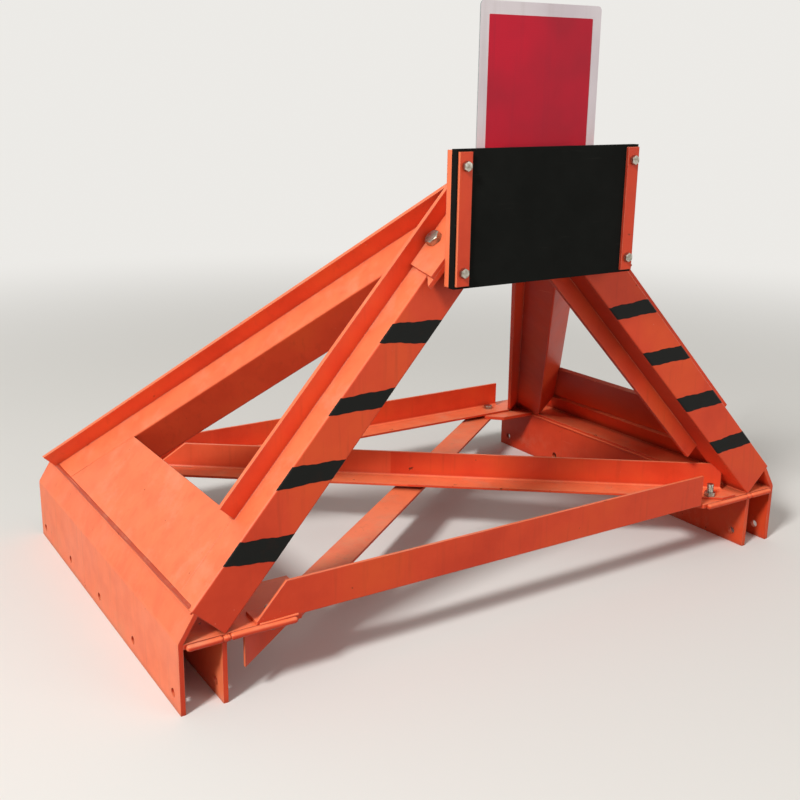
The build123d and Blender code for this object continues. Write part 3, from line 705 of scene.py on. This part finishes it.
@dataclass
class SideFrame:
    """Leaning frame of one side: where its outer face lies, and its legs' edges.

    A place on it is given in millimetres: how far along the track, how far up the slope and how deep
    inwards from the outer face. A place on the shoe's top is given along the track and inset from the
    shoe's inner face.
    """

    side: int
    lean: float = 43.1
    leg_width: float = 91.0
    leg_depth: float = 69.0
    leg_corner: float = 4.0
    rake: float = 2.88
    back_rake: float = 39.3
    back_depth: float = 91.7
    back_setback: float = 59.0
    side_plate_height: float = 178.0
    foot_inset: float = 1.0
    foot_flat: float = 2.0
    sole_plate: float = 10.0
    front_gusset_end: float = 158.0
    rear_gusset_reach: float = 148.0
    seam_ledge: float = 7.0
    head_setback: float = 12.0
    head_gusset_deep: float = 11.0
    cheek_plate: float = 8.0
    cheek_bottom: float = 776.0
    cheek_top: float = 955.0
    beam_setback: float = 31.0
    beam_seam: tuple[float, float] = (62.0, 150.0)
    tie_seam: tuple[float, float] = (66.0, 150.0)
    weld_gap: float = 4.0
    bar_film: tuple[float, float] = (0.05, 0.35)
    bar_margin: float = 0.6
    bar_grid: tuple[int, int] = (9, 47)
    low_waver: tuple[tuple[float, float, int], ...] = ((0.9, 9.3, 1), (0.5, 3.1, 2))
    high_waver: tuple[tuple[float, float, int], ...] = ((1.1, 7.7, 3), (0.5, 2.7, 1))

    def __post_init__(self) -> None:
        """Work out the frame's directions from the shoe's own boxes."""
        angle = math.radians(self.lean)
        low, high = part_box(f"inner_skirt_{self.word}")
        self.front, self.rear = low[1], high[1]
        self.sole_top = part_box(f"sole_plate_{self.word}")[1][2]
        self.inner = min(abs(low[0]), abs(high[0]))
        self.up = np.array([-self.side * math.sin(angle), 0.0, math.cos(angle)])
        self.inward = np.array([-self.side * math.cos(angle), 0.0, -math.sin(angle)])
        corner = np.array([self.side * (self.inner + self.foot_inset * MM), self.front,
                           self.sole_top - self.foot_flat * MM])
        self.origin = corner - self.inward * self.leg_width * MM
        self.tilt = math.radians(self.rake)
        self.back_tilt = math.radians(self.back_rake)
        self.run = (self.rear - self.front) / MM

    @property
    def word(self) -> str:
        """Side as the nodes name it."""
        return "left" if self.side < 0 else "right"

    def at(self, along: Array | float, up: Array | float, deep: Array | float) -> Array:
        """Place on the leaning frame.

        Args:
            along: Millimetres along the track from the shoe's front.
            up: Millimetres up the slope.
            deep: Millimetres inwards from the outer face.

        Returns:
            The place in metres, or a grid of places.
        """
        along, up, deep = np.broadcast_arrays(*(np.asarray(part, float) for part in (along, up, deep)))
        return (self.origin + (along * MM)[..., None] * ALONG
                + (up * MM)[..., None] * self.up + (deep * MM)[..., None] * self.inward)

    def on_shoe(self, along: float, inset: float = 0.0, drop: float = 0.0) -> Array:
        """Place in metres on the shoe's top, given in millimetres, or this far below it."""
        return np.array([self.side * (self.inner - inset * MM), self.front + along * MM,
                         self.sole_top - drop * MM])

    def leg_edge(self, depth: float, up: Array | float) -> Array | float:
        """How far along the track the line lies that is this deep in the front leg."""
        return depth / math.cos(self.tilt) + up * math.tan(self.tilt)

    def back_edge(self, up: float) -> float:
        """How far along the track the back leg's face lies."""
        foot = self.run - self.back_setback - self.back_depth / math.cos(self.back_tilt)
        return foot - up * math.tan(self.back_tilt)

    def paint_bars(self, bars: Sequence[Bar], material: bpy.types.Material) -> None:
        """Brush the black bars on the front leg's face.

        Each bar is the patch P(a, b), a across the face and b from its lower to its upper edge. It
        follows the face's rounded corners. Both edges of bar n waver where the brush was lifted, by the
        sum of w sin(a / p + k n) over their rows of height w, pitch p and turn k.

        Args:
            bars: The bars, from the foot up.
            material: Black enamel.
        """
        rows, columns = self.bar_grid
        across = np.linspace(self.bar_margin, self.leg_width - self.bar_margin, columns)
        share = np.linspace(0.0, 1.0, rows)[:, None]
        inside = across / self.leg_width
        corner = self.leg_corner
        reach = np.clip(corner - np.minimum(across, self.leg_width - across), 0, corner)
        rounded = corner - np.sqrt(corner ** 2 - reach ** 2)
        faces = film_faces(rows, columns)
        for number, bar in enumerate(bars, start=1):
            low = bar.low_outside + (bar.low_inside - bar.low_outside) * inside
            high = bar.high_outside + (bar.high_inside - bar.high_outside) * inside
            for height, pitch, turn in self.low_waver:
                low = low + height * np.sin(across / pitch + turn * number)
            for height, pitch, turn in self.high_waver:
                high = high + height * np.sin(across / pitch + turn * number)
            up = low + (high - low) * share
            layers = [self.at(self.leg_edge(-film, up) + rounded, up, across) for film in self.bar_film]
            points = np.concatenate([layer.reshape(-1, 3) for layer in layers])
            stripe = put_mesh(f"stripe_{self.word}_{number}", points,
                              faces[:, ::-1] if self.side < 0 else faces, material)
            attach(stripe, "root")

    def weld(self, bead: WeldBead, material: bpy.types.Material, shade_painted: bpy.types.Material) -> None:
        """Lay the beads of this side's frame and shoe.

        Args:
            bead: How the beads are laid.
            material: Enamel over them.
            shade_painted: Darker enamel, as painted shade, for the dark line at the side plate's foot.
        """
        heel, face = self.leg_edge(self.leg_depth, 0), self.back_edge(0)
        slopes = math.tan(self.back_tilt) + math.tan(self.tilt)
        back_corner, gap = self.run - self.back_setback, self.weld_gap
        joint = [(self.leg_edge(self.leg_depth, up), up)
                 for up in ((face - heel) / slopes, (back_corner - heel) / slopes)]
        bottom, top, deep = self.cheek_bottom, self.cheek_top, self.head_gusset_deep

        # The bare numbers are the few millimetres by which a bead stands off an edge or stops short of it
        seams = {
            "front_foot": (self.on_shoe(2), self.on_shoe(self.leg_depth)),
            "front_gusset": (self.on_shoe(self.leg_depth), self.on_shoe(self.front_gusset_end)),
            "back_foot": (self.on_shoe(face + gap), self.on_shoe(back_corner)),
            "rear_gusset": (self.on_shoe(self.run - self.rear_gusset_reach), self.on_shoe(face + gap)),
            "leg_joint": [self.at(*place, 0) for place in joint],
            "leg_joint_inside": [self.at(*place, self.leg_width) for place in joint],
            "inner_skirt": [self.on_shoe(along, drop=self.sole_plate) for along in (10, self.run - 10)],
            "gusset_inside": (self.at(self.leg_edge(-1, bottom), bottom - 6, deep),
                              self.at(self.leg_edge(-1, top), top - gap, deep)),
            "head_inside": [self.at(self.head_setback + 1, up, deep) for up in (bottom + 14, top - gap)],
            "beam": [self.on_shoe(self.run - self.beam_setback, inset) for inset in self.beam_seam],
        }
        if self.side < 0:
            seams["tie"] = [self.on_shoe(-0.6, inset) for inset in self.tie_seam]
        for name, (start, end) in seams.items():
            bead.lay(f"weld_{name}_{self.word}", start, end, material)

        bend, ledge = self.side_plate_height, self.seam_ledge - 1.2
        # The wide flat bead at the side plate's foot, in the darker enamel, is a painted shade line where the
        # side plate laps the skirt
        dark_line = replace(bead, size_mm=6.0, ripple_depth=0.04, swell_depth=0.03, wander_mm=0.2)
        flush = replace(bead, size_mm=1.7, ripple_depth=0.08)
        plate_seams = (
            ("painted_shade_seam_side_plate", dark_line, (9, 4.6, 4.0), (self.run - 9, 4.6, 4.0), shade_painted),
            ("weld_side_plate", replace(bead, size_mm=2.6), (5, -2.2, ledge), (self.run - 5, -2.2, ledge),
             material),
            ("weld_side_plate_front", flush, (heel, 6, 1.1),
             (self.leg_edge(self.leg_depth, bend), bend - 3, 1.1), material),
            ("weld_side_plate_back", flush, (face, 6, 1.1), (self.back_edge(bend), bend - 3, 1.1), material),
        )
        for name, kind, start, end, finish in plate_seams:
            kind.lay(f"{name}_{self.word}", self.at(*start), self.at(*end), finish)


@dataclass(frozen=True)
class FrontBar:
    """Round bar welded along the front edge of the sole and the gusset, lumpy under its paint."""

    bar_mm: float = 6.6
    proud_mm: float = 3.6
    drop_mm: float = 7.0
    spans_mm: tuple[tuple[float, float], ...] = ((560.0, 700.0), (713.0, 786.0))
    lump_mm: tuple[float, float] = (698.0, 715.0)
    lump_size_mm: float = 6.0

    def dress(self, side_frame: SideFrame, material: bpy.types.Material) -> None:
        """Weld the bars to one shoe.

        Args:
            side_frame: Side that they belong to.
            material: Enamel over them.
        """
        rod = WeldBead(size_mm=self.bar_mm, ripple_depth=0.03, ripple_mm=19.0, swell_depth=0.035,
                       wander_mm=0.5, wander_pitch_mm=33.0, step_mm=1.0, sides=20)
        lump = WeldBead(size_mm=self.lump_size_mm, ripple_depth=0.2, ripple_mm=6.0, step_mm=0.8, sides=16)
        y = side_frame.front - self.proud_mm * MM
        z = side_frame.sole_top - self.drop_mm * MM
        pieces = [("gusset_bar", rod, self.spans_mm[0]), ("sole_bar", rod, self.spans_mm[1]),
                  ("bar_weld", lump, self.lump_mm)]
        for name, bead, (near, far) in pieces:
            start, end = (np.array([side_frame.side * x * MM, y, z]) for x in (near, far))
            bead.lay(f"{name}_{side_frame.word}", start, end, material)


@dataclass(frozen=True)
class SheetArea:
    """Upright rectangle of sheet, by its sides from the track's middle and its ends from the board's foot."""

    left: float
    right: float
    bottom: float
    top: float
    corner: float
    corner_steps: int = 6
    bubble_pitch_m: tuple[float, float] = (0.031, 0.043)

    def surface(self, front: float, thick: float, foot: float, grid: tuple[int, int],
                bubble: float = 0.0) -> tuple[Array, Array]:
        """Closed thin sheet with rounded corners, in metres.

        The front is P(u, v), with the sides drawn in near the ends by the corner's arc
        c - sqrt(c^2 - (c - e)^2) for a distance e to the nearer end, and shallow bubbles of
        b sin(u / p) sin(v / q) on it.

        Args:
            front: Place along the track of the sheet's front.
            thick: Thickness.
            foot: Height of the board's foot.
            grid: Rows and columns.
            bubble: Height of the bubbles where it was rolled on, in millimetres.

        Returns:
            Points and quads.
        """
        rows, columns = grid
        height = self.top - self.bottom
        ends = self.corner * (1 - np.cos(np.linspace(0.0, math.pi / 2, self.corner_steps)))
        straight = np.linspace(self.corner, height - self.corner, rows)
        level = np.unique(np.concatenate([ends, height - ends, straight]))
        edge = np.minimum(level, height - level)
        drawn = self.corner - np.sqrt(self.corner ** 2 - np.clip(self.corner - edge, 0, None) ** 2)
        share = np.linspace(0.0, 1.0, columns)
        left, right = self.left + drawn, self.right - drawn
        u = (left[:, None] + (right - left)[:, None] * share) * MM
        v = np.broadcast_to(((self.bottom + level) * MM)[:, None], u.shape)
        pitch_u, pitch_v = self.bubble_pitch_m
        lift = bubble * MM * np.sin(u / pitch_u) * np.sin(v / pitch_v)
        layers = [np.stack([u, front + depth - lift * face, v + foot], axis=-1)
                  for depth, face in ((thick, 0.0), (0.0, 1.0))]
        points = np.concatenate([layer.reshape(-1, 3) for layer in layers])
        return points, film_faces(len(level), columns)


@dataclass(frozen=True)
class MarkerBoard:
    """Sheet-metal board with white sheeting on its front, a red field on that, and a bare grey back."""

    board: SheetArea = SheetArea(-152.0, 145.0, 0.0, 337.0, 9.0)
    red_field: SheetArea = SheetArea(-132.0, 123.0, 20.0, 313.0, 2.0)
    film_mm: float = 0.4
    bubble_mm: float = 0.12
    grid: tuple[int, int] = (26, 24)

    def dress(self, white: bpy.types.Material, red: bpy.types.Material, bare: bpy.types.Material) -> None:
        """Make the board with its sheeting, in place of the plain one.

        Args:
            white: White sheeting.
            red: Red sheeting.
            bare: Metal of the board itself.
        """
        low, high = (np.array(corner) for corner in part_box("marker_board"))
        film = self.film_mm * MM
        layers = (("board_metal", self.board, low[1] + film, high[1] - low[1] - film, bare, 0.0),
                  ("white_field", self.board, low[1], film, white, 0.0),
                  ("red_field", self.red_field, low[1] - film, film, red, self.bubble_mm))
        for name, area, front, thick, material, bubble in layers:
            points, quads = area.surface(front, thick, low[2], self.grid, bubble)
            piece = put_mesh(name, points, quads, material)
            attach(piece, "root")
            if name == "board_metal":
                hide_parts("marker_board")


@dataclass(frozen=True)
class HexBolt:
    """Hexagon bolt: head with chamfered corners and a washer face, and where it has one, a nut and thread.

    One that was put in from below has its nut on top, with the thread standing out of it.
    """

    shank_mm: float
    flats_mm: float
    head_mm: float
    grip_mm: float = 0.0
    stick_out_mm: float = 4.0
    above_mm: float = 0.0
    washer_face_mm: float = 0.5
    chamfer: float = 0.94
    pitch_mm: float = 2.0
    steps_per_pitch: int = 6
    thread_mm: float = 0.9
    points_round: int = 48

    def rings(self, angle: Array, bottom: float, top: float, both: bool) -> list[tuple[Array, Array]]:
        """Rings of a hexagon, from its lower pole to its upper one.

        The side lies at a / cos(t), with a half the width across flats and t the angle from the nearest
        flat. The chamfer is the cone that drops by tan 30 degrees of how far a corner is outside it.

        Args:
            angle: Angles of the points round the axis.
            bottom: Height of the lower end.
            top: Height of the upper end.
            both: Whether the lower end is chamfered too, and has no washer face.

        Returns:
            Radii and heights of each ring.
        """
        half = self.flats_mm / 2
        hexagon = half / np.cos((angle + math.pi / 6) % (math.pi / 3) - math.pi / 6)
        crown = np.full_like(angle, self.chamfer * half)
        drop = (hexagon - crown) * math.tan(math.pi / 6)
        level = np.ones_like(angle)
        foot = (bottom + (0.0 if both else self.washer_face_mm)) * level
        lower = bottom + drop if both else foot
        return [(0 * level, bottom * level), (crown, bottom * level), (crown, foot), (hexagon, lower),
                (hexagon, top - drop), (crown, top * level), (0 * level, top * level)]

    def thread(self, angle: Array, bottom: float, top: float) -> list[tuple[Array, Array]]:
        """Rings of a thread: r = R - d w(z / p - a / 2 pi), with w a sharp wave.

        Args:
            angle: Angles of the points round the axis.
            bottom: Height of the lower end.
            top: Height of the upper end.

        Returns:
            Radii and heights of each ring.
        """
        count = max(5, int((top - bottom) / (self.pitch_mm / self.steps_per_pitch)))
        heights = np.linspace(bottom, top, count)
        crest = self.shank_mm / 2
        wave = np.abs(2 * ((heights[:, None] / self.pitch_mm - angle[None, :] / (2 * math.pi)) % 1) - 1)
        radii = crest - self.thread_mm * wave
        radii[0] = np.minimum(radii[0], crest - self.thread_mm)
        level = np.ones_like(angle)
        return ([(0 * level, bottom * level)] + [(r, h * level) for r, h in zip(radii, heights)]
                + [(0 * level, top * level)])

    def surface(self, seat: Array, axis: Array, way: Array) -> tuple[Array, Array]:
        """Points and quads of one bolt.

        Each form is turned about the axis: P(k, a) = seat + h(k, a) axis + r(k, a) (n cos a + b sin a).

        Args:
            seat: Middle of the head's seat, in metres.
            axis: Direction out of the seat.
            way: Direction square to one of the flats.

        Returns:
            Points and quads.
        """
        axis, way = unit(axis), unit(way)
        other = np.cross(axis, way)
        angle = np.arange(self.points_round) * 2 * math.pi / self.points_round
        forms = [self.rings(angle, 0.0, self.head_mm, both=False)]
        if self.above_mm:
            forms.append(self.thread(angle, self.head_mm, self.head_mm + self.above_mm))
        if self.grip_mm:
            under = -self.grip_mm - self.head_mm
            forms += [self.rings(angle, under, -self.grip_mm, both=True),
                      self.thread(angle, under - self.stick_out_mm, under)]
        turned = []
        for form in forms:
            radii, heights = (np.stack(values) * MM for values in zip(*form))
            grid = (seat + heights[..., None] * axis + (radii * np.cos(angle))[..., None] * way
                    + (radii * np.sin(angle))[..., None] * other)
            turned.append((grid.reshape(-1, 3), grid_faces(len(form), len(angle), wrap=True)))
        return joined(turned)


def fit_bolts(node: str, bolts: Sequence[tuple[HexBolt, Array, Array, Array]],
              material: bpy.types.Material) -> None:
    """Put the detailed bolts in place of a node's plain ones.

    Args:
        node: Node that they stand for.
        bolts: Each bolt with its seat in metres, its axis and the way of one flat.
        material: Plated steel.
    """
    points, quads = joined([bolt.surface(seat, axis, way) for bolt, seat, axis, way in bolts])
    piece = put_mesh(f"detailed_{node}", points, quads, material)
    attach(piece, "root")
    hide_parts(node)


@dataclass(frozen=True)
class Fasteners:
    """Places of the bolts, in millimetres, from the boxes of what they clamp."""

    cheek_place: tuple[float, float] = (79.0, 840.0)
    pad_inset: float = 17.5
    pad_edge: float = 29.0
    board_spacing: float = 220.0
    board_rise: float = 32.5
    front_place: tuple[float, float] = (105.0, 27.0)
    rear_place: tuple[float, float] = (109.0, 62.0)
    angle_plate: float = 6.0
    gusset_plate: float = 10.0
    standing_thread: float = 20.0
    cheek_bolt: HexBolt = HexBolt(20.0, 30.0, 13.0, grip_mm=18.0, pitch_mm=2.5)
    pad_bolt: HexBolt = HexBolt(10.0, 17.0, 8.0)
    board_bolt: HexBolt = HexBolt(12.0, 19.0, 8.0)
    brace_bolt: HexBolt = HexBolt(16.0, 24.0, 10.0, grip_mm=16.0)

    def fit(self, frames: Sequence[SideFrame], material: bpy.types.Material) -> None:
        """Fit every bolt.

        Args:
            frames: Left and right side frames.
            material: Plated steel.
        """
        for side_frame in frames:
            seat = side_frame.at(*self.cheek_place, -side_frame.cheek_plate)
            fit_bolts(f"cheek_bolt_{side_frame.word}",
                      [(self.cheek_bolt, seat, -side_frame.inward, side_frame.up)], material)

        low, high = (np.array(corner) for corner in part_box("head_plate"))
        strip_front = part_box("clamp_strip_left")[0][1]
        pad_seats = [np.array([x, strip_front, z])
                     for x in (low[0] + self.pad_inset * MM, high[0] - self.pad_inset * MM)
                     for z in (low[2] + self.pad_edge * MM, high[2] - self.pad_edge * MM)]
        fit_bolts("pad_bolts", [(self.pad_bolt, seat, -ALONG, ACROSS) for seat in pad_seats], material)

        low, high = (np.array(corner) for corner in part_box("marker_board"))
        board_seats = [np.array([x * self.board_spacing / 2 * MM, high[1], low[2] + self.board_rise * MM])
                       for x in (-1, 1)]
        fit_bolts("board_bolts", [(self.board_bolt, seat, ALONG, ACROSS) for seat in board_seats], material)

        # One bolt clamps two angles where they meet, and the right front one was put in from below
        brace_bolts = []
        for side_frame, front_angles, rear_angles, above in zip(frames, (2, 1), (1, 2),
                                                                (0.0, self.standing_thread)):
            top = side_frame.sole_top + self.angle_plate * MM
            front_y = side_frame.front + self.front_place[1] * MM
            rear_y = side_frame.rear - self.rear_place[1] * MM
            for inset, y, angles, standing in ((self.front_place[0], front_y, front_angles, above),
                                               (self.rear_place[0], rear_y, rear_angles, 0.0)):
                bolt = replace(self.brace_bolt, above_mm=standing,
                               grip_mm=self.gusset_plate + self.angle_plate * angles)
                seat = np.array([side_frame.side * (side_frame.inner - inset * MM), y, top])
                brace_bolts.append((bolt, seat, UPWARD, ACROSS))
        fit_bolts("brace_bolts", brace_bolts, material)


@dataclass
class BufferStop:
    """The whole buffer stop: finishes on the CAD nodes, and the pieces added to them."""

    enamel: OrangeEnamel = OrangeEnamel()
    # Darker enamel for the painted shade line at the side plate's foot
    seam_shade_enamel: OrangeEnamel = OrangeEnamel("orange enamel in a grimy seam", fresh="#B23F24",
                                              deep="#A0361F", warm="#B84427", sunlit_and_chalked="#BC4729")
    black: BlackPaint = BlackPaint()
    rubber: BlackRubber = BlackRubber()
    zinc: ZincPlate = ZincPlate()
    galvanised: GalvanisedSheet = GalvanisedSheet()
    red_sheet: ReflectiveSheet = ReflectiveSheet("red reflective sheeting", "#CE1431", "#B11A2F", "#A01E33")
    white_sheet: ReflectiveSheet = ReflectiveSheet("white reflective sheeting", "#E9E0E3", "#DCD0D5",
                                                   "#BDB0AC")

    def dress(self) -> None:
        """Give every CAD node its finish and add the bars, welds, bolts and sheeting."""
        finishes = {
            Slot.PAINT.value: self.enamel.make(),
            Slot.RUBBER.value: self.rubber.make(),
            Slot.ZINC.value: self.zinc.make(),
            Slot.SHEET.value: self.white_sheet.make(),
        }
        enamel, zinc = finishes[Slot.PAINT.value], finishes[Slot.ZINC.value]
        slots = {part["node"]: part["material_slot"] for part in frame["record"]["subparts"]}
        for name, node in frame["nodes"].items():
            material = finishes[slots[name]]
            for place in node.material_slots:
                place.material = material
            log.info("%s: %s", name, material.name)
        black, shade_painted = self.black.make(), self.seam_shade_enamel.make()
        frames = [SideFrame(-1), SideFrame(1)]
        for side_frame, bars in zip(frames, (LEFT_BARS, RIGHT_BARS)):
            side_frame.paint_bars(bars, black)
            side_frame.weld(WeldBead(), enamel, shade_painted)
            FrontBar().dress(side_frame, enamel)
            log.info("side frame %s: bars, welds and front bar", side_frame.word)
        MarkerBoard().dress(finishes[Slot.SHEET.value], self.red_sheet.make(), self.galvanised.make())
        log.info("marker board: metal, white and red sheeting")
        Fasteners().fit(frames, zinc)
        log.info("bolts: cheeks, pad, board and braces")


@dataclass
class Studio:
    """Plain pale floor, soft lamps and the camera at the photograph's angle."""

    lens_mm: float = 46.57
    sensor_mm: float = 36.0
    eye: tuple[float, float, float] = (-1.3841, -2.0481, 1.0799)
    look: tuple[float, float, float] = (0.4805, 0.8392, -0.2546)
    roll: float = -0.08
    shift: tuple[float, float] = (0.082, -0.030)
    floor_size: float = 30.0
    target: tuple[float, float, float] = (0.0, 0.0, 0.5)
    key_place: tuple[float, float, float] = (-6.1, -2.7, 5.9)
    key_energy: float = 600.0
    key_size: float = 1.3
    fill_place: tuple[float, float, float] = (2.4, -4.8, 2.2)
    fill_energy: float = 48.0
    fill_size: float = 3.0
    sky: str = "#F4F2EE"
    sky_strength: float = 0.4
    backdrop_strength: float = 0.93

    def camera(self) -> None:
        """Place the camera that was worked out from the photograph's straight edges."""
        lens = bpy.data.cameras.new("camera")
        lens.lens, lens.sensor_width = self.lens_mm, self.sensor_mm
        lens.shift_x, lens.shift_y = self.shift
        view = bpy.data.objects.new("camera", lens)
        forward = unit(np.array(self.look))
        right = unit(np.cross(forward, UPWARD))
        upward = np.cross(right, forward)
        turn = math.radians(self.roll)
        rolled = right * math.cos(turn) + upward * math.sin(turn)
        axes = np.stack([rolled, np.cross(rolled, forward), -forward], axis=1)
        view.matrix_world = Matrix([[*axes[row], self.eye[row]] for row in range(3)] + [[0, 0, 0, 1]])
        bpy.context.scene.collection.objects.link(view)
        bpy.context.scene.camera = view

    def floor(self) -> None:
        """Lay the floor under the skirts."""
        half = self.floor_size / 2
        points = np.array([[-half, -half, 0], [half, -half, 0], [half, half, 0], [-half, half, 0]])
        slab = put_mesh("floor", points, np.array([[0, 1, 2, 3]]), StudioFloor().make())

    def lamp(self, name: str, place: Sequence[float], energy: float, size: float) -> None:
        """Hang a square lamp that looks at the object.

        Args:
            name: Name of the lamp.
            place: Where it hangs, in metres.
            energy: Power in watts.
            size: Side in metres.
        """
        light = bpy.data.lights.new(name, "AREA")
        light.energy, light.size = energy, size
        lamp = bpy.data.objects.new(name, light)
        lamp.location = place
        lamp.rotation_euler = (Vector(self.target) - Vector(place)).to_track_quat("-Z", "Y").to_euler()
        bpy.context.scene.collection.objects.link(lamp)

    def build(self) -> None:
        """Set up the studio."""
        scene = bpy.context.scene
        scene.view_settings.view_transform = "Standard"
        self.camera()
        self.floor()
        self.lamp("key", self.key_place, self.key_energy, self.key_size)
        self.lamp("fill", self.fill_place, self.fill_energy, self.fill_size)
        world = bpy.data.worlds.new("soft sky")
        scene.world = world
        world.use_nodes = True
        tree = world.node_tree
        strength = add_node(tree, "MapRange", {"To Min": self.sky_strength, "To Max": self.backdrop_strength},
                            Value=seen_rays(tree))
        wire(tree.nodes["Background"], {"Color": self.sky}, Strength=strength)


def main() -> None:
    """Dress the buffer stop and set up the studio."""
    logging.basicConfig(level=logging.INFO, format="%(message)s")
    Studio().build()
    BufferStop().dress()


if __name__ == "__main__":
    main()
